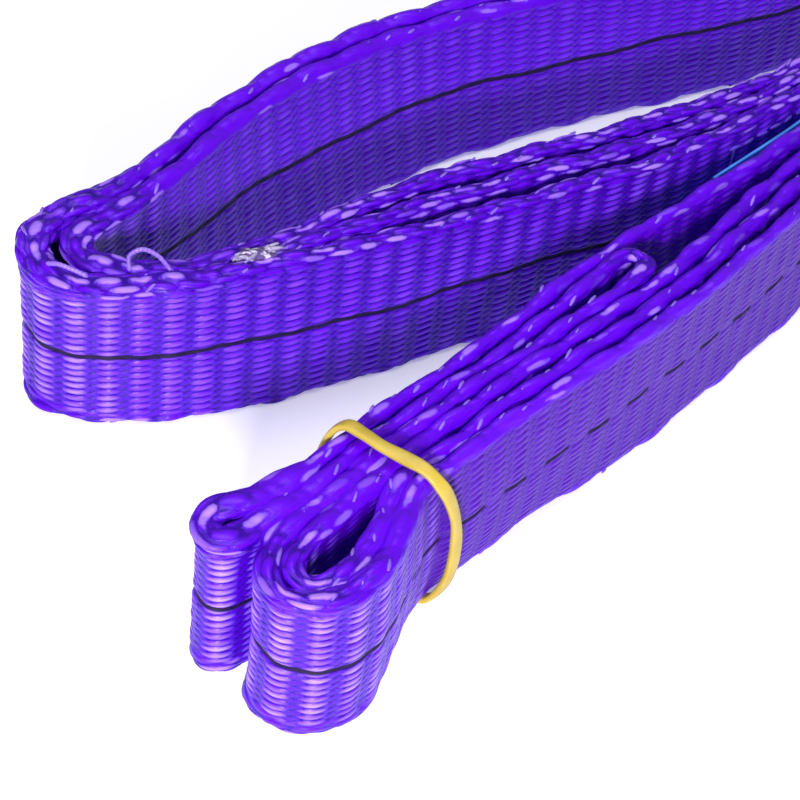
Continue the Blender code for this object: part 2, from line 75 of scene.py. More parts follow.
# Each stretch: piece, body or fold, the solids it stands for, detail of its left and right
# face (left as the strip runs), slack of its weave, and its plan points. It starts where the
# stretch before it ends.
stretches = [
    ("web_front_run_lap_ply", "front_strand", ["front_run_lap_ply"], "medium", "plain", 1.0,
     [(-20.4, 19.7), (-15.2, 17.75), (-9, 15.9), (3.4, 12.7), (14.3, 10.2), (25, 6.9),
      (35.4, 3.5), (47.7, -0.8), (60.8, -4.2), (75.5, -7.2), (90, -9.0), (115, -10.0),
      (140, -10.1), (180, -9.8), (205, -9.7), (233, -9.7), (236, -9.7)]),
    ("web_right_turn_outer_ply", "rightFold", ["right_turn_outer_far", "right_turn_outer_near"],
     "medium", "medium", 0.4, arc(rightTurn["centre"], rightTurn["outer"], 90, -90, 12)[1:]),
    ("web_second_run_outer_ply", "banded_bundle", ["second_run_outer_ply"], "fine", "plain", 0.0,
     [(233, -30.9), (205, -30.8), (178, -30.8), (164, -30.7), (150, -30.2), (130, -29.6),
      (95, -29.8), (75, -30.6), (60, -31.6), (46, -32.5), (32, -33.2), (18, -33.3), (5, -32.8),
      (-8, -32.0), (-20, -31.8), (-26, -31.8), (-33, -31.95)]),
    ("web_left_turn_outer_ply", "banded_bundle", ["left_turn_outer_ply"], "fine", "medium", 0.6,
     [(-36.5, -33.0), (-41.7, -35.5), (-46.8, -38.0), (-52.3, -39.8), (-57.6, -39.6),
      (-60.6, -38.0), (-62.6, -35.4), (-63.5, -32.6), (-62.7, -29.4), (-60.7, -27.2),
      (-58, -25.9), (-53, -25.3), (-46, -24.7), (-38, -23.9), (-33, -23.7)]),
    ("web_first_run_outer_ply", "banded_bundle", ["first_run_outer_ply"], "plain", "plain", 0.0,
     [(-26, -23.55), (-20, -23.5), (-8, -23.55), (5, -23.9), (18, -24.25), (25, -24.3),
      (28, -24.3)]),
    ("web_eye_1_right_fold", "banded_bundle", ["eye_1_right_fold"], "plain", "fine", 0.0,
     arc(eyeFold["centre"], eyeFold["radius"], -90, 90, 6)[1:]),
    ("web_eye_1_middle_leg", "banded_bundle", ["eye_1_middle_leg"], "plain", "plain", 0.0,
     [(25, -19.72), (18, -19.9), (5, -20.5), (-8, -20.75), (-20, -20.75), (-26, -20.8),
      (-33, -20.95), (-38, -21.3), (-46, -21.95)]),
    ("web_eye_1_left_fold", "banded_bundle", ["eye_1_left_fold"], "fine", "plain", 0.3,
     [(-52, -21.9), (-58, -22.1), (-61.8, -21.6), (-63.7, -19.6), (-62.9, -17.4),
      (-60.3, -16.5), (-56, -17.6), (-51, -18.75), (-46, -19.2)]),
    ("web_eye_1_far_leg", "banded_bundle", ["eye_1_far_leg"], "medium", "plain", 0.0,
     [(-38, -18.55), (-33, -18.2), (-26, -18.05), (-20, -18.0), (-8, -18.0), (5, -17.6),
      (18, -16.95), (25, -16.85), (32, -16.9), (46, -17.6), (60, -18.9), (75, -19.3),
      (95, -19.0), (112, -18.3), (130, -17.4), (148, -16.3), (161, -15.8), (164, -15.8)]),
    ("web_eye_1_far_turn", "banded_bundle", ["eye_1_far_turn"], "medium", "plain", 0.0,
     arc(eyeTurn["centre"], eyeTurn["radius"], 90, -90, 10)[1:]),
    ("web_first_run_inner_ply", "banded_bundle", ["first_run_inner_ply"], "plain", "plain", 0.0,
     [(161, -24.8), (148, -24.2), (130, -23.2), (112, -22.7), (95, -22.6), (75, -22.9),
      (60, -24.0), (46, -25.5), (32, -26.9), (25, -27.15), (18, -27.15), (5, -26.8),
      (-8, -26.3), (-20, -26.25), (-26, -26.3), (-33, -26.45)]),
    ("web_left_turn_inner_ply", "banded_bundle", ["left_turn_inner_ply"], "medium", "medium", 0.6,
     [(-38, -26.75), (-46, -27.5), (-52, -28.2), (-57, -29.3), (-59.6, -31.4), (-60, -33.8),
      (-58, -36.2), (-53.4, -36.8), (-47.5, -35.0), (-42.5, -32.6), (-37.5, -30.2),
      (-33, -29.2)]),
    ("web_second_run_inner_ply", "banded_bundle", ["second_run_inner_ply"], "plain", "plain", 0.0,
     [(-26, -29.05), (-20, -29.0), (-8, -29.2), (5, -30.0), (18, -30.4), (32, -30.2),
      (46, -29.0), (60, -27.8), (75, -26.8), (95, -26.5), (130, -26.6), (150, -27.2),
      (164, -27.8), (178, -27.9), (205, -27.9), (233, -28.0), (236, -28.0)]),
    ("web_right_turn_inner_ply", "rightFold", ["right_turn_inner_near", "right_turn_inner_far"],
     "medium", "medium", 0.4, arc(rightTurn["centre"], rightTurn["inner"], -90, 90, 12)[1:]),
    ("web_front_run_outer_ply", "front_strand", ["front_run_outer_ply"], "fine", "plain", 1.0,
     [(233, -12.6), (205, -12.6), (180, -12.7), (164, -12.8), (140, -13.0), (115, -13.0),
      (90, -12.2), (75.5, -11.1), (60.8, -9.0), (47.7, -6.3), (35.4, -2.2), (25, 1.0),
      (14.3, 4.7), (3.4, 8.0), (-5.9, 11.4), (-15.5, 14.9), (-24.4, 18.9)]),
    ("web_left_loop_outer_ply", "leftFold", ["left_loop_outer_front", "left_loop_outer_back"],
     "fine", "medium", 1.2,
     [(-30, 22.0), (-35.4, 25.6), (-39.6, 28.9), (-42.4, 32.0), (-44.2, 35.4), (-44.8, 38.6),
      (-43.6, 42.4), (-40, 45.3), (-34.5, 46.3), (-28, 46.4), (-21, 46.2)]),
    ("web_back_run_outer_ply", "back_strand", ["back_run_outer_ply"], "medium", "plain", 0.8,
     [(-15.5, 46.9), (-10, 48.3), (-5, 49.6), (3, 50.8), (15, 51.7), (28, 51.6), (40, 50.4),
      (52, 47.9), (66, 43.4), (80, 38.4), (92, 33.6), (104, 28.8), (117, 23.6), (132, 18.6),
      (150, 13.3), (170, 8.6), (190, 5.2), (210, 3.0), (230, 1.8)]),
    ("web_eye_2_far_leg", "eyeNeck", ["eye_2_far_leg"], "medium", "medium", 0.2,
     [(248, 1.3), (254, 1.2), (260, 1.6), (275, 5.2), (300, 15.5), (332, 30.5), (367, 43)]),
    ("web_eye_2_bow", "second_eye", ["eye_2_bow"], "medium", "medium", 0.4,
     [(401, 49.4), (433, 42.5), (456, 22.4), (464.5, -1.7), (456, -26), (433, -46),
      (401, -53), (367, -46.6)]),
    ("web_eye_2_near_leg", "eyeNeck", ["eye_2_near_leg"], "medium", "medium", 0.2,
     [(332, -34), (300, -19), (275, -7.7), (260, -2.4), (254, -1.8), (248, -1.75), (230, -1.2)]),
    ("web_back_run_inner_ply", "back_strand", ["back_run_inner_ply"], "fine", "plain", 0.8,
     [(210, 0.0), (190, 2.2), (170, 5.6), (150, 10.3), (131, 15.7), (116.4, 20.2),
      (103.7, 25.2), (91, 30.2), (79, 35.2), (66.7, 39.6), (56, 43.0), (44, 45.7), (32, 47.0),
      (22, 47.3), (11, 47.1), (2.6, 46.2), (-5, 44.9), (-11, 43.7), (-20, 42.4)]),
    ("web_left_loop_inner_ply", "leftFold", ["left_loop_inner_back", "left_loop_inner_front"],
     "medium", "medium", 1.2,
     [(-25, 42.3), (-30, 42.3), (-34.6, 41.2), (-37.4, 38.6), (-38.1, 35.2), (-36.4, 31.2),
      (-33.4, 27.8), (-29.5, 25.1), (-24.4, 23.2)]),
    ("web_front_run_inner_ply", "front_strand", ["front_run_inner_ply"], "plain", "medium", 1.0,
     [(-15.5, 20.7), (-5.9, 18.5), (3.4, 16.9), (14.3, 14.8), (25, 11.7), (35.4, 8.3),
      (47.7, 4.0), (60.8, 0.1), (75.5, -3.4), (90, -5.8), (115, -7.1), (140, -7.2)]),
]

# Where the strip bends from one body to the next: plan points where the bend starts and ends
folds = {
    "rightFold": (("banded_bundle", "front_strand"), (240.0, -27.0), (240.0, -13.6)),
    "leftFold": (("front_strand", "back_strand"), (-40.0, 32.0), (-40.0, 42.0)),
    "eyeNeck": (("back_strand", "second_eye"), (248.0, 0.0), (261.0, 0.0)),
}


def smoothLine(points):
    knots = [Vector(point).to_3d() for point in points]
    chords = [(b - a).length for a, b in zip(knots, knots[1:])]
    tangents = [(knots[1] - knots[0]) / chords[0]]
    for i in range(1, len(knots) - 1):
        before = (knots[i] - knots[i - 1]) / chords[i - 1]
        after = (knots[i + 1] - knots[i]) / chords[i]
        tangents.append((before * chords[i] + after * chords[i - 1]) / (chords[i] + chords[i - 1]))
    tangents.append((knots[-1] - knots[-2]) / chords[-1])
    line = [knots[0]]
    for i, chord in enumerate(chords):
        handleA = knots[i] + tangents[i] * chord / 3
        handleB = knots[i + 1] - tangents[i + 1] * chord / 3
        line.extend(interpolate_bezier(knots[i], handleA, handleB, knots[i + 1],
                                       plan["curveSteps"])[1:])
    return np.array([point[:] for point in line])


def softened(values, reach):   # running mean over a length of the line
    count = max(int(reach / plan["sampleStep"]) // 2, 1)
    padded = np.pad(values, count, mode="edge")
    return np.convolve(padded, np.ones(2 * count + 1) / (2 * count + 1), mode="valid")


# The back run leans: how far its lower edge lies nearer than its upper one, along plan x
leaning = {
    "x": (-25.0, 0.0, 19.0, 32.0, 44.0, 56.0, 67.0, 79.0, 91.0, 104.0, 116.0, 140.0),
    "foot": (0.0, 3.6, 5.0, 4.6, 4.7, 4.0, 3.8, 3.2, 2.4, 2.4, 1.7, 0.0),
}

# The weave is slack near the left loop and pressed flat further right, along plan x
pressing = {"x": (66.0, 104.0), "slack": (1.0, 0.1)}

# How far the loosened edges spread where the strip is folded
spreading = {"web_left_loop_outer_ply": 0.5, "web_left_loop_inner_ply": 0.5,
             "web_eye_1_left_fold": 0.8, "web_eye_1_right_fold": 0.5,
             "web_left_turn_outer_ply": 0.25, "web_left_turn_inner_ply": 0.25}

# How loose the yarns of the edges are on each body
looseness = {"front_strand": 0.9, "leftFold": 1.0, "back_strand": 0.15, "banded_bundle": 0.15,
             "rightFold": 0.4, "eyeNeck": 0.3, "second_eye": 0.3}


def layStrip():   # the whole strip as evenly spaced samples, and where each stretch lies on it
    points = []
    ends = []
    for stretch in stretches:
        points.extend(stretch[-1])
        ends.append(len(points) - 1)
    dense = smoothLine(points)
    run = np.concatenate(([0], np.cumsum(np.linalg.norm(np.diff(dense, axis=0), axis=1))))
    strip = {"along": np.arange(0.0, run[-1], plan["sampleStep"])}
    strip["x"] = np.interp(strip["along"], run, dense[:, 0])
    strip["y"] = np.interp(strip["along"], run, dense[:, 1])
    tangentX = softened(np.gradient(strip["x"], plan["sampleStep"]), 1.5)
    tangentY = softened(np.gradient(strip["y"], plan["sampleStep"]), 1.5)
    size = np.hypot(tangentX, tangentY)
    strip["tx"] = tangentX / size
    strip["ty"] = tangentY / size
    heading = np.unwrap(np.arctan2(strip["ty"], strip["tx"]))
    strip["curl"] = softened(np.gradient(heading, plan["sampleStep"]), 3.0)
    for key in ("slack", "bundle", "worn", "lean", "loose", "spread"):
        strip[key] = np.zeros_like(strip["x"])
    strip["places"] = {}
    start = 0.0
    rib = weave["ribPitch"]
    for stretch, last in zip(stretches, ends):
        end = run[last * (plan["curveSteps"] - 1)]
        if stretch is not stretches[-1]:
            end = round(end / rib) * rib   # cut in a valley between two ribs
        inside = (strip["along"] >= start) & (strip["along"] <= end)
        strip["slack"][inside] = stretch[5]
        strip["bundle"][inside] = "turn" in stretch[0] or stretch[1] == "banded_bundle"
        strip["worn"][inside] = stretch[0] == "web_second_run_outer_ply"
        strip["lean"][inside] = stretch[1] == "back_strand"
        strip["loose"][inside] = looseness[stretch[1]]
        strip["spread"][inside] = spreading.get(stretch[0], 0.0)
        strip["places"][stretch[0]] = (start, end)
        start = end
    pressed = np.interp(strip["x"], pressing["x"], pressing["slack"])
    strip["slack"] = softened(strip["slack"] * pressed, 14.0)
    strip["worn"] = softened(strip["worn"], 16.0)
    strip["lean"] = softened(strip["lean"], 10.0) * np.interp(strip["x"], leaning["x"], leaning["foot"])
    tight = np.clip(np.abs(strip["curl"]) * 5.0, 0, 1)
    strip["loose"] = softened(np.maximum(strip["loose"], tight), 12.0)
    strip["spread"] = softened(strip["spread"], 7.0)
    strip["length"] = start
    return strip


# The weave, in millimetres: ribs across the strip, and on each rib a column of short floats
weave = {
    "width": 30.0,
    "halfThick": 1.2,
    "slackThick": 0.5,       # more half thickness where the weave is slack
    "ribPitch": 5.0,
    "ribHeight": 0.14,
    "rowPitch": 1.38,
    "floatHeight": 0.32,
    "floatLong": 0.42,       # half length of a float, in ribs
    "floatTall": 0.47,       # half height, in rows
    "betweenLong": 0.26,     # the same for the lower floats in the valleys
    "slant": 0.3,
    "lumpHeight": 0.5,       # swellings of the edges, one for each two ribs
    "lumpReach": 2.4,
    "tracerWidth": 0.7,
    "tracerDepth": 0.3,
    "alongStep": 0.5,
    "faceSteps": {"fine": 0.28, "medium": 0.5, "plain": 1.4},
    "edgeSteps": 7,          # steps round a quarter of an edge
    "edgePitch": 5.0,        # yarns of the edges: length and width of one float
    "edgeRow": 1.35,
}


def scatter(a, b):   # an uneven but repeatable value from 0 to 1
    return np.abs(np.modf(np.sin(a * 12.9898 + b * 78.233) * 43758.5453)[0])


def eased(value):
    value = np.clip(value, 0.0, 1.0)
    return value * value * (3 - 2 * value)


def tracerLine(along):   # height of the tracer yarn's middle
    return 15.0 + 0.32 * np.sin(along / 7.9) + 0.22 * np.sin(along / 3.1 + 1.0)


def floatRelief(along, height, right):
    column = along / weave["ribPitch"]
    inColumn = column - np.floor(column) - 0.5
    row = height / weave["rowPitch"] + 0.5 * (np.floor(column) % 2) + 0.5 * right
    row = row + weave["slant"] * inColumn
    inRow = row - np.floor(row) - 0.5
    uneven = scatter(np.floor(column), np.floor(row) + 40 * right)
    crown = 1 - (inColumn / weave["floatLong"]) ** 2 - (inRow / weave["floatTall"]) ** 2
    shiftedRow = np.mod(inRow + 1.0, 1.0) - 0.5
    lower = 1 - ((0.5 - np.abs(inColumn)) / weave["betweenLong"]) ** 2
    lower = lower - (shiftedRow / weave["floatTall"]) ** 2
    crown = np.maximum(np.sqrt(np.clip(crown, 0, 1)), 0.6 * np.sqrt(np.clip(lower, 0, 1)))
    rib = np.cos(np.pi * inColumn) ** 2
    groove = np.exp(-((height - tracerLine(along)) / weave["tracerWidth"]) ** 2)
    return (weave["ribHeight"] * (rib - 0.7) - weave["tracerDepth"] * groove
            + weave["floatHeight"] * (crown * (0.6 + 0.5 * uneven) - 0.5) * (1 - groove))


def edgeDistance(height):
    return np.minimum(height, weave["width"] - height)


def aroundEdge(height, across, half):   # distance round the section from an edge's middle
    bend = half * np.arcsin(np.clip(np.abs(across), 0, 1))
    bend = bend + np.maximum(edgeDistance(height) - weave["halfThick"], 0)
    return bend * np.where(across < 0, -1.0, 1.0)


def edgeShare(height, bent, loose):   # 1 on the edge, 0 where the face's weave begins
    reach = 0.9 + 2.4 * bent * loose
    return 1 - eased((edgeDistance(height) - reach) / 1.3)


def edgeRelief(along, around, top, scale):   # slanted yarns that wrap the edge
    around = around / scale
    row = np.floor(around / weave["edgeRow"] + 0.5)
    inRow = around / weave["edgeRow"] + 0.5 - row - 0.5
    column = along / (weave["edgePitch"] * scale) + 0.31 * row + 0.16 * around
    inColumn = column - np.floor(column) - 0.5
    crown = 1 - (inColumn / 0.5) ** 2 - (inRow / 0.56) ** 2
    luck = scatter(np.floor(column), row + 17.0 * top)
    return np.sqrt(np.clip(crown, 0, 1)) * (0.5 + 0.8 * luck) - 0.5


# The band pinches the bundle: its lower edges lift, its upper edges dip, its sides swell
pinch = {
    "lift": 1.7,
    "full": (-42.0, -4.0),
    "fade": (12.0, 20.0),
    "dip": 0.6,
    "swell": 1.7,
    "farSwell": 0.3,         # share of it on the far side
    "swellCentre": -25.0,
    "swellReach": 30.0,
    "middleY": -25.0,
    "halfY": 8.0,
}


def pinchAt(x):
    rise = eased((x - pinch["full"][0] + pinch["fade"][0]) / pinch["fade"][0])
    fall = eased((pinch["full"][1] + pinch["fade"][1] - x) / pinch["fade"][1])
    return np.minimum(rise, fall)


def onStrip(along, height, across, outUp=0.0, outSide=0.0):
    # Points of the strip in metres: across from -1 to 1 between its faces, left positive.
    # outUp and outSide are how much an outward direction points up and sideways there.
    read = {key: np.interp(along, strip["along"], strip[key])
            for key in ("x", "y", "tx", "ty", "slack", "bundle", "curl", "lean", "loose", "spread")}
    half = weave["halfThick"] + weave["slackThick"] * read["slack"]
    bent = np.clip(np.abs(read["curl"]) * 7.0, 0, 1)
    top = height > weave["width"] / 2
    share = edgeShare(height, bent, read["loose"])
    edge = 1 - eased(edgeDistance(height) / weave["lumpReach"])
    phase = along / (2 * weave["ribPitch"]) + 0.10 * across + 0.25 * top
    swelling = np.abs(np.sin(np.pi * phase)) ** 0.7
    ripple = scatter(np.floor(phase), 3.0 + top)
    lump = weave["lumpHeight"] * (swelling * (0.7 + 0.6 * ripple) - 0.75) * edge * (1 + 0.5 * bent)
    sway = 0.3 * np.sin(np.pi * phase + 2.0 * top) * edge * (1 + 0.8 * bent)
    around = aroundEdge(height, across, half)
    yarns = edgeRelief(along, around, top, 1.0) * 0.45 * read["loose"]
    yarns = yarns + edgeRelief(along, around, top, 2.0) * 0.32 * (1 - read["loose"])
    yarns = yarns * share
    calm = 1 - 0.55 * np.clip(1 - read["loose"] / 0.3, 0, 1)
    flat = floatRelief(along, height, (across < 0) * 1.0) * (1 - share) * calm * (1 + 0.5 * bent)
    relief = flat + yarns + lump * (0.45 + 0.55 * np.abs(outUp))
    spread = 1 + read["spread"] * top * (1 - eased(edgeDistance(height) / 6.0))
    side = half * across * spread * (1 + 0.12 * edge * (swelling - 0.5)) + relief * outSide + sway
    wander = 0.28 * np.sin(along / 21.0 + 0.7) + 0.2 * np.sin(along / 9.1)
    drift = 0.14 * np.sin(along / 17.0 + height / 11.0)
    z = height + relief * outUp + wander * np.where(top, 1.0, 0.0) * eased((height - 15) / 15)
    squeezed = read["bundle"] * pinchAt(read["x"])
    z = z + squeezed * (pinch["lift"] * (1 - height / 30) - pinch["dip"] * height / 30)
    x = read["x"] - read["ty"] * (side + drift)
    y = read["y"] + read["tx"] * (side + drift) - read["lean"] * (1 - height / 30)
    near = np.exp(-((read["x"] - pinch["swellCentre"]) / pinch["swellReach"]) ** 2)
    belly = (1 - (height / 15 - 1) ** 2) * near * read["bundle"]
    belly = belly * np.where(read["y"] > pinch["middleY"], pinch["farSwell"], 1.0)
    y = y + pinch["swell"] * belly * np.clip((read["y"] - pinch["middleY"]) / pinch["halfY"], -1, 1)
    place = np.stack([x - plan["origin"][0], y - plan["origin"][1], z], axis=-1)
    return place * plan["metres"]


def sectionRing(leftStep, rightStep):
    # Round the section from the middle of the lower edge: height, across, outUp, outSide
    corner = weave["halfThick"]
    width = weave["width"]
    flat = width - 2 * corner
    steps = weave["edgeSteps"]
    ring = []
    for i in range(steps):
        angle = math.pi / 2 * i / steps
        ring.append((corner * (1 - math.cos(angle)), math.sin(angle),
                     -math.cos(angle), math.sin(angle)))
    count = round(flat / leftStep)
    for i in range(count):
        ring.append((corner + flat * i / count, 1.0, 0.0, 1.0))
    for i in range(2 * steps):
        angle = math.pi / 2 * i / steps
        ring.append((width - corner * (1 - math.sin(angle)), math.cos(angle),
                     math.sin(angle), math.cos(angle)))
    count = round(flat / rightStep)
    for i in range(count):
        ring.append((width - corner - flat * i / count, -1.0, 0.0, -1.0))
    for i in range(steps + 1):
        angle = math.pi / 2 * i / steps
        ring.append((corner * (1 - math.sin(angle)), -math.cos(angle),
                     -math.sin(angle), -math.cos(angle)))
    return np.array(ring)


def finishedPiece(name, mesh, material, smoothAngle=50.0):
    data = bpy.data.meshes.new(name)
    mesh.to_mesh(data)
    mesh.free()
    data.materials.append(material)
    data.shade_smooth()
    data.set_sharp_from_angle(angle=math.radians(smoothAngle))
    piece = bpy.data.objects.new(name, data)
    bpy.context.scene.collection.objects.link(piece)
    return piece


def settle(piece, place):   # a piece rides on a body; a piece across a fold keeps its place on no body
    if place in folds:
        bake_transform(piece)
    else:
        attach(piece, place)


def makeWebbing(stretch, material):
    name, place, nodes, left, right, _, _ = stretch
    start, end = strip["places"][name]
    ring = sectionRing(weave["faceSteps"][left], weave["faceSteps"][right])
    alongCount = max(round((end - start) / weave["alongStep"]), 4)
    aroundCount = len(ring) - 1
    mesh = bmesh.new()
    bmesh.ops.create_grid(mesh, x_segments=alongCount, y_segments=aroundCount, size=1.0)
    grid = np.array([vert.co[:2] for vert in mesh.verts])
    along = start + (end - start) * (grid[:, 0] + 1) / 2
    spot = np.rint((grid[:, 1] + 1) / 2 * aroundCount).astype(int)
    height, across, outUp, outSide = ring[spot].T
    slack, curl, worn, loose = (np.interp(along, strip["along"], strip[key])
                                for key in ("slack", "curl", "worn", "loose"))
    bent = np.clip(np.abs(curl) * 7.0, 0, 1)
    around = aroundEdge(height, across, weave["halfThick"] + weave["slackThick"] * slack)
    share = edgeShare(height, bent, loose)
    across = across.copy()
    fromCut = np.minimum(np.abs(along), np.abs(along - strip["length"]))
    closing = np.clip(fromCut / 2.6, 0, 1)   # the sealed ends of the strip are rounded off
    across *= np.sqrt(np.clip(1 - (1 - closing) ** 2, 0.05, 1))
    height = height + 0.7 * np.exp(-(fromCut / 3.0) ** 2) * (height / 15 - 1)
    places = onStrip(along, height, across, outUp, outSide)
    sealed = np.clip(1 - fromCut / 13.0, 0, 1)
    weaveLayer = mesh.verts.layers.float_vector.new("weave")
    stateLayer = mesh.verts.layers.float_vector.new("state")
    edgeLayer = mesh.verts.layers.float_vector.new("edge")
    side = (across < 0) * 0.5
    for i, vert in enumerate(mesh.verts):
        vert.co = places[i]
        vert[weaveLayer] = (along[i], height[i], side[i])
        vert[stateLayer] = (worn[i], sealed[i], bent[i])
        vert[edgeLayer] = (around[i], share[i], loose[i])
    bmesh.ops.remove_doubles(mesh, verts=mesh.verts, dist=0.000001)
    bmesh.ops.holes_fill(mesh, edges=mesh.edges, sides=0)
    bmesh.ops.recalc_face_normals(mesh, faces=mesh.faces)
    piece = finishedPiece(name, mesh, material)
    settle(piece, place)
    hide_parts(*nodes)


# Small loops of yarn that stand out of the edges here and there; their lighter lilac is a painted glint
# over the yarn's own colour
edgeTurns = {
    "long": 2.1,
    "wide": 0.6,
    "thick": 0.5,
    "spacing": 5.0,
}


def bead(mesh, centre, alongDir, upDir, size):   # a small seed-shaped body
    acrossDir = alongDir.cross(upDir)
    turn = Matrix((alongDir, acrossDir, upDir)).transposed().to_4x4()
    shape = Matrix.Translation(centre) @ turn @ Matrix.Diagonal((*size, 1.0))
    bmesh.ops.create_uvsphere(mesh, u_segments=6, v_segments=5, radius=0.5, matrix=shape)


def makeEdgeTurns(name, stretch, material):
    start, end = strip["places"][stretch[0]]
    mesh = bmesh.new()
    unit = plan["metres"]
    first = math.ceil(start / edgeTurns["spacing"])
    last = math.floor((end - 0.5) / edgeTurns["spacing"])
    for k in range(first, last + 1):
        for top in (False, True):
            luck = float(scatter(np.float64(k), 5.0 + top))
            other = float(scatter(np.float64(k), 9.0 + top))
            if luck < 0.6 or not start + 3 < k * edgeTurns["spacing"] + 1.5 * other < end - 3:
                continue
            along = k * edgeTurns["spacing"] + 1.5 * other
            across = 1.3 * (other - 0.5)
            level = weave["width"] - 0.3 if top else 0.3
            up = 1.0 if top else -1.0
            spots = onStrip(np.array([along - 0.6, along + 0.6]), np.array([level, level]),
                            np.array([across, across + 0.3]), np.array([up, up]),
                            np.array([0.0, 0.0]))
            a, b = (Vector(spot) for spot in spots)
            alongDir = (b - a).normalized()
            upDir = Vector((0, 0, up))
            upDir = (upDir - alongDir * alongDir.dot(upDir)).normalized()
            bead(mesh, (a + b) / 2 + upDir * 0.05 * unit, alongDir, upDir,
                 (edgeTurns["long"] * unit * (0.4 + luck), edgeTurns["wide"] * unit,
                  edgeTurns["thick"] * unit))
    if not mesh.verts:   # a short stretch may have none
        mesh.free()
        return
    bmesh.ops.recalc_face_normals(mesh, faces=mesh.faces)
    piece = finishedPiece(name, mesh, material)
    settle(piece, stretch[1])


# Materials
def addNode(tree, kind, **settings):
    made = tree.nodes.new(kind)
    for key, value in settings.items():
        setattr(made, key, value)
    return made


def feed(tree, value, socket):
    if isinstance(value, bpy.types.NodeSocket):
        tree.links.new(value, socket)
    else:
        socket.default_value = value


def maths(tree, operation, *values):
    made = addNode(tree, "ShaderNodeMath", operation=operation)
    for value, socket in zip(values, made.inputs):
        feed(tree, value, socket)
    return made.outputs[0]


def plus(tree, a, b):
    return maths(tree, "ADD", a, b)


def minus(tree, a, b):
    return maths(tree, "SUBTRACT", a, b)


def times(tree, a, b):
    return maths(tree, "MULTIPLY", a, b)


def over(tree, a, b):
    return maths(tree, "DIVIDE", a, b)


def larger(tree, a, b):
    return maths(tree, "MAXIMUM", a, b)


def step(tree, value, low, high):   # smooth step from 0 at low to 1 at high
    made = addNode(tree, "ShaderNodeMapRange", interpolation_type="SMOOTHSTEP")
    feed(tree, value, made.inputs["Value"])
    made.inputs["From Min"].default_value = low
    made.inputs["From Max"].default_value = high
    return made.outputs["Result"]


def mixed(tree, share, first, second):
    made = addNode(tree, "ShaderNodeMix", data_type="RGBA")
    feed(tree, share, made.inputs["Factor"])
    for value, name in ((first, "A"), (second, "B")):
        socket = [s for s in made.inputs if s.name == name and s.type == "RGBA"][0]
        feed(tree, value if isinstance(value, bpy.types.NodeSocket) else (*value, 1.0), socket)
    return [s for s in made.outputs if s.type == "RGBA"][0]


def noiseOn(tree, vector, scale, detail=2.0):
    made = addNode(tree, "ShaderNodeTexNoise")
    feed(tree, vector, made.inputs["Vector"])
    made.inputs["Scale"].default_value = scale
    made.inputs["Detail"].default_value = detail
    return made.outputs["Fac"]


def joined(tree, x, y, z):
    made = addNode(tree, "ShaderNodeCombineXYZ")
    for value, socket in zip((x, y, z), made.inputs):
        feed(tree, value, socket)
    return made.outputs[0]


def newMaterial(name, roughness, **constants):
    material = bpy.data.materials.new(name)
    material.use_nodes = True
    tree = material.node_tree
    shader = tree.nodes["Principled BSDF"]
    shader.inputs["Roughness"].default_value = roughness
    for key, value in constants.items():
        shader.inputs[key.replace("_", " ")].default_value = value
    return material, tree, shader


def addBump(tree, shader, height, strength, distance):
    made = addNode(tree, "ShaderNodeBump")
    made.inputs["Strength"].default_value = strength
    made.inputs["Distance"].default_value = distance
    feed(tree, height, made.inputs["Height"])
    tree.links.new(made.outputs[0], shader.inputs["Normal"])


webColours = {
    # deep: painted shade for the valleys between ribs, the slits round the floats and the creases between
    # the edge yarns
    "deep": (0.020, 0.0, 0.24),
    "body": (0.104, 0.0, 0.68),
    # float: painted highlight on the float crowns, stronger where the yarns are loose
    "float": (0.20, 0.03, 0.86),
    # painted highlight: small glints on the edge yarns
    "paintedGlint": (0.34, 0.17, 0.86),
    "bendHighlight": (0.50, 0.36, 0.92),      # painted highlight: yarns pulled round a bend catch the light on their float crowns
    "worn": (0.060, 0.004, 0.28),
    "tracer": (0.004, 0.001, 0.03),
    "sealed": (0.55, 0.50, 0.68),
    "scorched": (0.10, 0.06, 0.22),
}


def lens(tree, u, v, halfU, halfV):   # 1 in the middle of a lens-shaped float, 0 outside it
    a = maths(tree, "POWER", over(tree, u, halfU), 2.0)
    b = maths(tree, "POWER", over(tree, v, halfV), 2.0)
    return larger(tree, minus(tree, 1.0, plus(tree, a, b)), 0.0)


def cellOf(tree, value):   # the number of a cell and the place in it from -0.5 to 0.5
    number = maths(tree, "FLOOR", value)
    return number, minus(tree, minus(tree, value, number), 0.5)


def splitAttribute(tree, name):
    data = addNode(tree, "ShaderNodeAttribute", attribute_name=name)
    parts = addNode(tree, "ShaderNodeSeparateXYZ")
    tree.links.new(data.outputs["Vector"], parts.inputs[0])
    return parts.outputs


def luckOf(tree, x, y):
    made = addNode(tree, "ShaderNodeTexWhiteNoise")
    tree.links.new(joined(tree, x, y, 0.0), made.inputs["Vector"])
    return made.outputs["Value"]


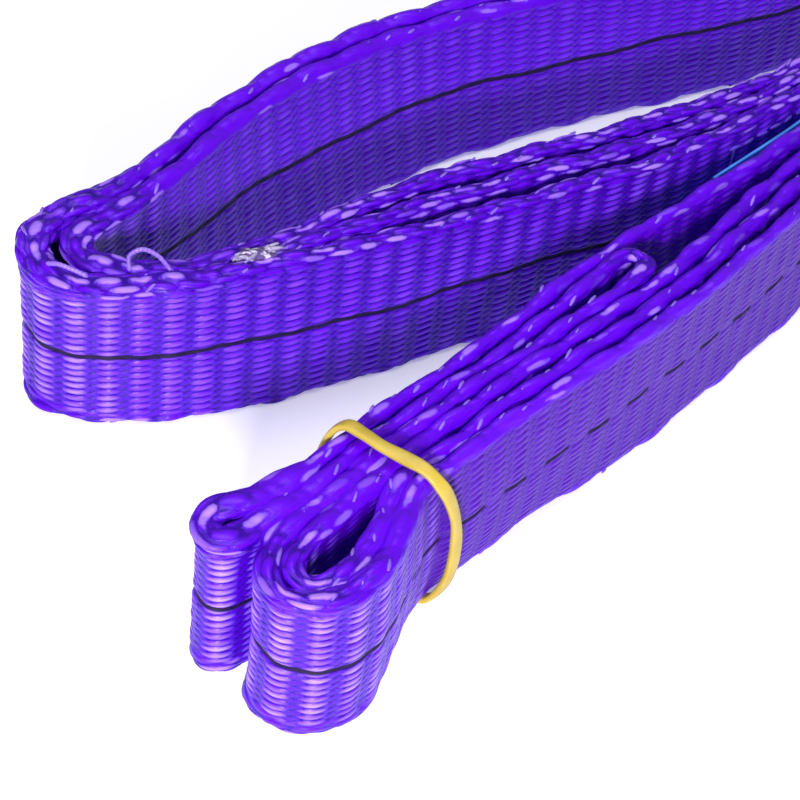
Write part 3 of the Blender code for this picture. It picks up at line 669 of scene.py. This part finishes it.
def webbingMaterial():
    material, tree, shader = newMaterial("webbing", 0.4, Specular_IOR_Level=0.34,
                                         Specular_Tint=(0.85, 0.62, 1.0, 1.0))
    along, height, side = splitAttribute(tree, "weave")
    worn, sealed, bent = splitAttribute(tree, "state")
    around, edge, loose = splitAttribute(tree, "edge")
    column, inColumn = cellOf(tree, over(tree, along, weave["ribPitch"]))
    parity = maths(tree, "FRACT", times(tree, column, 0.5))
    row = plus(tree, over(tree, height, weave["rowPitch"]), parity)
    row = plus(tree, row, side)
    row = plus(tree, row, times(tree, inColumn, weave["slant"]))
    rowNumber, inRow = cellOf(tree, row)
    luck = luckOf(tree, column, plus(tree, rowNumber, times(tree, side, 80.0)))
    onFace = minus(tree, 1.0, edge)
    crown = times(tree, lens(tree, inColumn, inRow, weave["floatLong"], weave["floatTall"]), onFace)
    shiftedRow = minus(tree, maths(tree, "FRACT", plus(tree, inRow, 1.0)), 0.5)
    fromValley = minus(tree, 0.5, maths(tree, "ABSOLUTE", inColumn))
    lower = lens(tree, fromValley, shiftedRow, weave["betweenLong"], weave["floatTall"])
    lower = times(tree, times(tree, lower, onFace), 0.6)
    edgeRow, inEdgeRow = cellOf(tree, plus(tree, over(tree, around, weave["edgeRow"]), 0.5))
    edgeColumn = plus(tree, over(tree, along, weave["edgePitch"]), times(tree, edgeRow, 0.31))
    edgeColumn = plus(tree, edgeColumn, times(tree, around, 0.16))
    ragged = noiseOn(tree, joined(tree, along, around, 0.0), 0.45, 3.0)
    ragged = times(tree, minus(tree, ragged, 0.5), 0.9)
    edgeColumn = plus(tree, edgeColumn, ragged)
    edgeNumber, inEdge = cellOf(tree, edgeColumn)
    edgeLuck = luckOf(tree, edgeNumber, edgeRow)
    edgeLens = times(tree, lens(tree, inEdge, inEdgeRow, 0.47, 0.5), edge)
    strands = noiseOn(tree, joined(tree, times(tree, along, 0.35),
                                   times(tree, height, 5.0), side), 1.6, 3.0)
    patch = noiseOn(tree, joined(tree, along, height, side), 0.12, 2.0)
    # Painted shade: the rib valleys, the slits round the floats and the creases between the edge yarns go
    # towards the deep colour, and the raised floats and edge lumps towards the body colour; the strand
    # noise is the yarn's own tone.
    ribShade = maths(tree, "COSINE", times(tree, inColumn, math.pi))
    ribShade = times(tree, ribShade, maths(tree, "MINIMUM", plus(tree, loose, 0.3), 1.0))
    fibreToneAndShade = plus(tree, times(tree, ribShade, 0.2), times(tree, strands, 0.7))
    raised = maths(tree, "SQRT", larger(tree, crown, lower))
    fibreToneAndShade = plus(tree, fibreToneAndShade, times(tree, raised, 0.4))
    smoothEdge = times(tree, edge, minus(tree, 1.0, loose))
    edgeLumpShading = larger(tree, maths(tree, "SQRT", edgeLens), smoothEdge)
    edgeLumpShading = larger(tree, edgeLumpShading, times(tree, edge, 0.4))
    calmer = larger(tree, minus(tree, 0.24, times(tree, loose, 0.5)), 0.0)
    fibreToneAndShade = plus(tree, fibreToneAndShade, calmer)
    fibreToneAndShade = plus(tree, fibreToneAndShade, times(tree, edgeLumpShading, 0.4))
    colour = mixed(tree, step(tree, fibreToneAndShade, 0.35, 1.0), webColours["deep"], webColours["body"])
    # Painted highlight on the float crowns, spread unevenly from float to float
    crownHighlight = plus(tree, times(tree, patch, 0.5), times(tree, luck, 0.5))
    crownHighlight = times(tree, times(tree, crown, crownHighlight), plus(tree, 0.25, times(tree, loose, 0.9)))
    colour = mixed(tree, crownHighlight, colour, webColours["float"])
    # Painted highlight on the float crowns where the strip bends
    uneven = plus(tree, 0.3, times(tree, luck, 0.8))
    bendHighlight = times(tree, maths(tree, "MINIMUM", times(tree, bent, 1.2), 0.6), uneven)
    bendHighlight = times(tree, bendHighlight, maths(tree, "POWER", crown, 1.6))
    colour = mixed(tree, bendHighlight, colour, webColours["bendHighlight"])
    # Painted glints: a painted highlight on some of the edge yarns, more where they are loose
    threshold = minus(tree, 0.98, times(tree, loose, 0.36))
    glint = step(tree, minus(tree, edgeLuck, threshold), -0.12, 0.1)
    glint = times(tree, glint, step(tree, edgeLens, 0.1, 0.9))
    colour = mixed(tree, glint, colour, webColours["paintedGlint"])
    wornShare = times(tree, worn, times(tree, onFace, 0.65))
    colour = mixed(tree, wornShare, colour, webColours["worn"])
    wave = times(tree, maths(tree, "SINE", over(tree, along, 7.9)), 0.32)
    ripple = maths(tree, "SINE", plus(tree, over(tree, along, 3.1), 1.0))
    middle = plus(tree, plus(tree, wave, 15.0), times(tree, ripple, 0.22))
    fromTracer = maths(tree, "ABSOLUTE", minus(tree, height, middle))
    fromTracer = plus(tree, fromTracer, times(tree, strands, 0.25))
    tracer = minus(tree, 1.0, step(tree, fromTracer, 0.42, 0.72))
    dash = maths(tree, "SINE", times(tree, over(tree, along, weave["ribPitch"]), math.pi))
    dashed = larger(tree, step(tree, dash, -0.35, 0.1), minus(tree, 1.0, worn))
    tracer = times(tree, tracer, dashed)
    colour = mixed(tree, tracer, colour, webColours["tracer"])
    charred = noiseOn(tree, joined(tree, times(tree, along, 0.8), height, around), 1.1, 3.0)
    endColour = mixed(tree, step(tree, charred, 0.48, 0.6), webColours["scorched"], webColours["sealed"])
    sealShare = step(tree, plus(tree, sealed, times(tree, strands, 0.35)), 0.45, 0.8)
    colour = mixed(tree, sealShare, colour, endColour)
    tree.links.new(colour, shader.inputs["Base Color"])
    gloss = minus(tree, 0.34, times(tree, crown, 0.06))
    gloss = plus(tree, gloss, times(tree, worn, 0.15))
    gloss = plus(tree, gloss, times(tree, tracer, 0.3))
    tree.links.new(gloss, shader.inputs["Roughness"])
    edgeBump = times(tree, maths(tree, "SQRT", edgeLens), loose)
    bumpHeight = plus(tree, raised, edgeBump)
    bumpHeight = plus(tree, bumpHeight, times(tree, strands, 0.4))
    bumpHeight = minus(tree, bumpHeight, tracer)
    addBump(tree, shader, bumpHeight, 0.8, 0.00025)
    return material


def mottle(tree, shader, colours, scales, shares, strength):
    # A fine and a broad noise share out two colours, and the fine one is the bump
    spot = addNode(tree, "ShaderNodeTexCoord")
    fine, broad = (noiseOn(tree, spot.outputs["Object"], scale) for scale in scales)
    share = plus(tree, times(tree, fine, shares[0]), times(tree, broad, shares[1]))
    tree.links.new(mixed(tree, share, *colours), shader.inputs["Base Color"])
    addBump(tree, shader, fine, strength, 0.0001)


def yarnMaterial(name, colour, lighter):
    material, tree, shader = newMaterial(name, 0.34, Sheen_Weight=0.2, Sheen_Roughness=0.4)
    mottle(tree, shader, (colour, lighter), (2600.0, 260.0), (0.5, 0.6), 0.5)
    return material


print("materials")
webbing = webbingMaterial()
# Yarn of the edge loops and loosened arches: its own violet mottled with a lighter lilac that is a
# painted glint
yarnWithPaintedGlint = yarnMaterial("yarn_with_painted_glint", (0.10, 0.01, 0.60), (0.32, 0.19, 0.76))
sewingYarn = yarnMaterial("sewing_thread", (0.08, 0.02, 0.55), (0.22, 0.12, 0.92))

print("webbing")
strip = layStrip()
for stretch in stretches:
    makeWebbing(stretch, webbing)
    makeEdgeTurns(stretch[0].replace("web", "edge_turns", 1), stretch, yarnWithPaintedGlint)


# The blue label between the front run and the bundle
blueLabel = {
    "points": [(56.5, -16.95), (68, -17.25), (81, -17.15), (95, -16.6), (106, -15.85),
               (114, -15.35), (122, -15.2)],
    "low": 1.5,
    "high": 29.0,
    "thick": 0.48,
    "colours": ((0.03, 0.20, 0.86), (0.06, 0.32, 0.95)),
    "stitches": 8,
    "stitchPitch": 3.3,
    "stitchLow": 3.5,
    "stitchSize": (2.6, 0.6, 0.45),
}


def alongAt(name, x):   # place along the strip of a plan x, within one stretch
    start, end = strip["places"][name]
    inside = (strip["along"] >= start) & (strip["along"] <= end)
    order = np.argsort(strip["x"][inside])
    return float(np.interp(x, strip["x"][inside][order], strip["along"][inside][order]))


def leaf(name, path, low, high, thick, material):
    # A standing leaf along a plan path of (x, y) rows in millimetres
    run = np.concatenate(([0], np.cumsum(np.linalg.norm(np.diff(path, axis=0), axis=1))))
    mesh = bmesh.new()
    bmesh.ops.create_grid(mesh, x_segments=max(round(run[-1] / 0.7), 8), y_segments=30, size=1.0)
    for vert in mesh.verts:
        travel = run[-1] * (vert.co.x + 1) / 2
        level = (vert.co.y + 1) / 2
        x = np.interp(travel, run, path[:, 0])
        y = np.interp(travel, run, path[:, 1])
        z = low + (high - low) * level + 0.12 * math.sin(travel / 5.3) * level
        vert.co = ((x - plan["origin"][0]) * plan["metres"],
                   (y - plan["origin"][1]) * plan["metres"], z * plan["metres"])
    bmesh.ops.recalc_face_normals(mesh, faces=mesh.faces)
    bmesh.ops.solidify(mesh, geom=mesh.faces[:], thickness=thick * plan["metres"])
    bmesh.ops.recalc_face_normals(mesh, faces=mesh.faces)
    return finishedPiece(name, mesh, material, 35.0)


def makeLabel():
    blue, tree, shader = newMaterial("blue_label", 0.4, Sheen_Weight=0.1)
    mottle(tree, shader, blueLabel["colours"], (1900.0, 90.0), (0.5, 0.5), 0.35)
    path = smoothLine(blueLabel["points"])[:, :2]
    piece = leaf("label_blue", path, blueLabel["low"], blueLabel["high"], blueLabel["thick"], blue)
    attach(piece, "identity_label")
    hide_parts("identity_label")


print("label")
makeLabel()

# Sewing: rows of short stitches, closed by an upright row at each end.
# Each pattern: body, stretch, plan x range, side of the strip, solid it stands for.
sewing = {
    "rows": (4.8, 9.8, 14.3, 20.8, 25.8),
    "pitch": 3.4,
    "long": 2.9,
    "wide": 0.75,
    "thick": 0.55,
    "endStitches": 8,
    "endPitch": 2.6,
    "endRise": 1.2,          # of an end row over the lowest row
    "patterns": [
        ("front_strand", "web_front_run_outer_ply", (70.0, 98.0), 1, "lap_stitching_near"),
        ("front_strand", "web_front_run_inner_ply", (72.0, 136.0), -1, "lap_stitching_far"),
        ("banded_bundle", "web_first_run_outer_ply", (8.0, 24.0), 1, "eye_1_stitching_far"),
        ("banded_bundle", "web_first_run_inner_ply", (6.0, 24.0), 1, "eye_1_stitching_near"),
        ("back_strand", "web_back_run_outer_ply", (184.0, 228.0), 1, "eye_2_stitching_far"),
        ("back_strand", "web_back_run_inner_ply", (184.0, 228.0), 1, "eye_2_stitching_near"),
    ],
}


def stitchOn(mesh, along, height, side, upright=False):
    reach = sewing["long"] / 3
    alongs = np.array([along, along]) + (0 if upright else 1) * np.array([-reach, reach])
    heights = np.array([height, height]) + (1 if upright else 0) * np.array([-reach, reach])
    spots = onStrip(alongs, heights, np.full(2, float(side)), np.zeros(2), np.full(2, float(side)))
    a, b = (Vector(spot) for spot in spots)
    tx, ty = (float(np.interp(along, strip["along"], strip[key])) for key in ("tx", "ty"))
    out = Vector((-ty, tx, 0)) * side
    alongDir = (b - a).normalized()
    out = (out - alongDir * alongDir.dot(out)).normalized()
    unit = plan["metres"]
    bead(mesh, (a + b) / 2 + out * 0.1 * unit, alongDir, out,
         (sewing["long"] * unit, sewing["wide"] * unit, sewing["thick"] * unit))


def makeSewing():
    for body, name, xRange, side, node in sewing["patterns"]:
        mesh = bmesh.new()
        low, high = sorted(alongAt(name, x) for x in xRange)
        count = int((high - low) / sewing["pitch"])
        for height in sewing["rows"]:
            for i in range(count + 1):
                stitchOn(mesh, low + i * (high - low) / count, height, side)
        for end in (low, high):
            for k in range(sewing["endStitches"]):
                height = sewing["rows"][0] + sewing["endRise"] + k * sewing["endPitch"]
                stitchOn(mesh, end, height, side, upright=True)
        bmesh.ops.recalc_face_normals(mesh, faces=mesh.faces)
        piece = finishedPiece("sewn_" + node, mesh, sewingYarn)
        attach(piece, body)
        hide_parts(node)


def makeLabelSewing():   # one upright row at the label's sewn edge
    path = smoothLine(blueLabel["points"])[:, :2]
    here, ahead = path[-20], path[-19]
    unit = plan["metres"]
    mesh = bmesh.new()
    go = Vector((ahead[0] - here[0], ahead[1] - here[1], 0)).normalized()
    out = Vector((go.y, -go.x, 0))
    lift = blueLabel["thick"] / 2 + 0.12
    size = [length * unit for length in blueLabel["stitchSize"]]
    for k in range(blueLabel["stitches"]):
        height = blueLabel["stitchLow"] + blueLabel["stitchPitch"] * k
        centre = Vector((here[0] - plan["origin"][0], here[1] - plan["origin"][1], height))
        bead(mesh, (centre + out * lift) * unit, Vector((0, 0, 1)), out, size)
    bmesh.ops.recalc_face_normals(mesh, faces=mesh.faces)
    piece = finishedPiece("sewn_identity_label_stitching", mesh, sewingYarn)
    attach(piece, "identity_label")
    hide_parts("identity_label_stitching")


print("sewing")
makeSewing()
makeLabelSewing()

# The rubber band: points of its middle line (plan x, plan y, height) and its twist in degrees
rubberBand = {
    "width": 2.1,
    "thick": 1.05,
    "points": [(-35.6, -18.0, 31.3, 4), (-35.0, -21.0, 31.4, -4), (-34.7, -24.6, 31.3, 4),
               (-33.8, -28.4, 31.1, 14), (-33.1, -31.6, 30.9, 20), (-32.5, -34.2, 29.4, 12),
               (-31.0, -35.3, 26.0, -4), (-29.2, -35.8, 20.5, -10), (-28.3, -35.9, 15.0, 2),
               (-28.0, -35.7, 9.5, 14), (-28.4, -35.0, 4.6, 8), (-29.6, -33.2, 1.0, 0),
               (-31.4, -29.6, 0.7, 0), (-33.4, -25.4, 0.6, 0), (-35.2, -20.4, 0.7, 0),
               (-36.4, -16.6, 1.4, 0), (-37.3, -15.0, 6.0, -6), (-37.6, -14.6, 14.0, -4),
               (-37.3, -14.8, 21.0, 4), (-36.6, -15.9, 28.0, 10)],
    "steps": 12,             # between two points
    "around": 16,
    "squareness": 0.55,      # 1 is an oval section, 0 a box
    "colours": ((0.36, 0.25, 0.02), (0.56, 0.42, 0.06)),
}


def makeBand():
    knots = [Vector(p[:3]) for p in rubberBand["points"]]
    twists = [p[3] for p in rubberBand["points"]]
    count = len(knots)
    steps = rubberBand["steps"]
    route = []
    for i in range(count):
        before, here, after, beyond = (knots[(i + k) % count] for k in (-1, 0, 1, 2))
        curve = interpolate_bezier(here, here + (after - before) / 6, after - (beyond - here) / 6,
                                   after, steps + 1)[:-1]
        for k, point in enumerate(curve):
            share = k / steps
            share = share * share * (3 - 2 * share)
            route.append((point, twists[i] * (1 - share) + twists[(i + 1) % count] * share))
    middle = sum((point for point, _ in route), Vector()) / len(route)
    around = rubberBand["around"]
    square = rubberBand["squareness"]
    mesh = bmesh.new()
    bmesh.ops.create_grid(mesh, x_segments=len(route), y_segments=around, size=1.0)
    for vert in mesh.verts:
        i = round((vert.co.x + 1) / 2 * len(route))
        k = round((vert.co.y + 1) / 2 * around)
        point, twist = route[i % len(route)]
        ahead = (route[(i + 1) % len(route)][0] - route[(i - 1) % len(route)][0]).normalized()
        across = Vector((1, 0, 0)) - ahead * ahead.x
        across.normalize()
        outward = across.cross(ahead)
        if outward.dot(point - middle) < 0:
            outward = -outward
        turn = math.radians(twist)
        angle = 2 * math.pi * (k % around) / around
        wide = math.copysign(abs(math.cos(angle)) ** square, math.cos(angle)) * rubberBand["width"] / 2
        deep = math.copysign(abs(math.sin(angle)) ** square, math.sin(angle)) * rubberBand["thick"] / 2
        wide *= 1 + 0.06 * math.sin(i * 0.21)
        a = wide * math.cos(turn) - deep * math.sin(turn)
        b = wide * math.sin(turn) + deep * math.cos(turn)
        spot = point + across * a + outward * b
        vert.co = toPart(spot)
    bmesh.ops.remove_doubles(mesh, verts=mesh.verts, dist=0.000001)
    bmesh.ops.recalc_face_normals(mesh, faces=mesh.faces)
    material, tree, shader = newMaterial("rubber", 0.42, Subsurface_Weight=0.25,
                                         Subsurface_Scale=0.0015)
    mottle(tree, shader, rubberBand["colours"], (1500.0, 160.0), (0.0, 1.0), 0.3)
    piece = finishedPiece("rubber_loop", mesh, material, 60.0)
    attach(piece, "rubber_band")
    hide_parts("rubber_band")


print("rubber band")
makeBand()

# Frayed yarns: short fibres at the cut end, and arches of yarn pulled out of the left loop
frayed = {
    "end": (-17.5, 18.6, 29.9),
    "reach": (3.0, 1.1, 0.8),
    "fibres": 34,
    "arches": [[(-35.8, 28.6, 30.4), (-34.6, 30.0, 31.5), (-32.6, 29.3, 32.3), (-31.5, 27.0, 32.0),
                (-31.4, 24.0, 30.9)],
               [(-44.6, 37.6, 30.6), (-44.2, 35.6, 31.6), (-43.0, 33.4, 31.2), (-41.6, 31.6, 30.2)]],
}


def strand(mesh, a, b, thick):   # a short piece of yarn from a to b
    go = (b - a).normalized()
    up = Vector((0, 0, 1)) if abs(go.z) < 0.9 else Vector((1, 0, 0))
    up = (up - go * go.dot(up)).normalized()
    bead(mesh, (a + b) / 2, go, up, ((b - a).length * 2.2, thick, thick))


def makeFrayed():
    unit = plan["metres"]
    mesh = bmesh.new()
    for i in range(frayed["fibres"]):
        rolls = [float(scatter(np.float64(i), 20.0 + k)) * 2 - 1 for k in range(6)]
        middle = [frayed["end"][k] + frayed["reach"][k] * rolls[k] for k in range(3)]
        middle[1] -= 0.33 * (middle[0] - frayed["end"][0])
        go = Vector((-1.0 + 0.7 * rolls[3], 0.35 + 0.7 * rolls[4], 0.35 * rolls[5])) * unit
        strand(mesh, toPart(middle) - go * 0.4, toPart(middle) + go * 0.4, 0.7 * unit)
    bmesh.ops.recalc_face_normals(mesh, faces=mesh.faces)
    piece = finishedPiece("cut_end_fibres", mesh, yarnMaterial("melted_yarn", (0.12, 0.08, 0.26),
                                                               (0.50, 0.46, 0.62)))
    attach(piece, "front_strand")
    mesh = bmesh.new()
    for points in frayed["arches"]:
        line = [toPart(point) for point in smoothLine(points)[::6]]
        for a, b in zip(line, line[1:]):
            strand(mesh, a, b, 0.8 * unit)
    bmesh.ops.recalc_face_normals(mesh, faces=mesh.faces)
    piece = finishedPiece("loosened_yarns", mesh, yarnWithPaintedGlint)
    settle(piece, "leftFold")


print("frayed yarns")
makeFrayed()

# Setting: a pale floor, soft lights and the camera
studio = {
    "floorSize": 6.0,
    "target": (-0.20038, 0.00054, 0.0),
    "camera": (-0.42098, -0.16874, 0.26852),
    "roll": 8.0,
    "lens": 103.5,
    "worldLight": 0.22,
    "floorGlow": 0.3,
    "lamps": [("key", (-0.37, -0.26, 0.215), 0.08, 3.1),   # name, offset, size, power
              ("top", (0.0, 0.1, 1.0), 0.7, 6.2)],
}


def makeStudio():
    mesh = bmesh.new()
    bmesh.ops.create_grid(mesh, x_segments=2, y_segments=2, size=studio["floorSize"] / 2)
    material, _, shader = newMaterial("floor", 0.9)
    shader.inputs["Base Color"].default_value = (0.93, 0.93, 0.94, 1.0)
    shader.inputs["Specular IOR Level"].default_value = 0.1
    shader.inputs["Emission Color"].default_value = (1.0, 1.0, 1.0, 1.0)
    shader.inputs["Emission Strength"].default_value = studio["floorGlow"]
    floor = finishedPiece("floor", mesh, material)
    scene = bpy.context.scene
    scene.view_settings.view_transform = "Standard"
    world = bpy.data.worlds.new("studio")
    scene.world = world
    world.use_nodes = True
    world.node_tree.nodes["Background"].inputs["Color"].default_value = (1, 1, 1, 1)
    world.node_tree.nodes["Background"].inputs["Strength"].default_value = studio["worldLight"]
    target = Vector(studio["target"])
    for name, offset, size, power in studio["lamps"]:
        light = bpy.data.lights.new(name, "AREA")
        light.size = size
        light.energy = power
        lamp = bpy.data.objects.new(name, light)
        lamp.location = target + Vector(offset)
        lamp.rotation_euler = (-Vector(offset)).to_track_quat("-Z", "Y").to_euler()
        scene.collection.objects.link(lamp)
    cameraData = bpy.data.cameras.new("camera")
    cameraData.lens = studio["lens"]
    cameraData.sensor_width = 36.0
    cameraData.clip_start = 0.01
    camera = bpy.data.objects.new("camera", cameraData)
    camera.location = Vector(studio["camera"])
    look = (target - camera.location).to_track_quat("-Z", "Y")
    roll = Euler((0, 0, math.radians(studio["roll"]))).to_quaternion()
    camera.rotation_euler = (look @ roll).to_euler()
    scene.collection.objects.link(camera)
    scene.camera = camera


print("studio")
makeStudio()
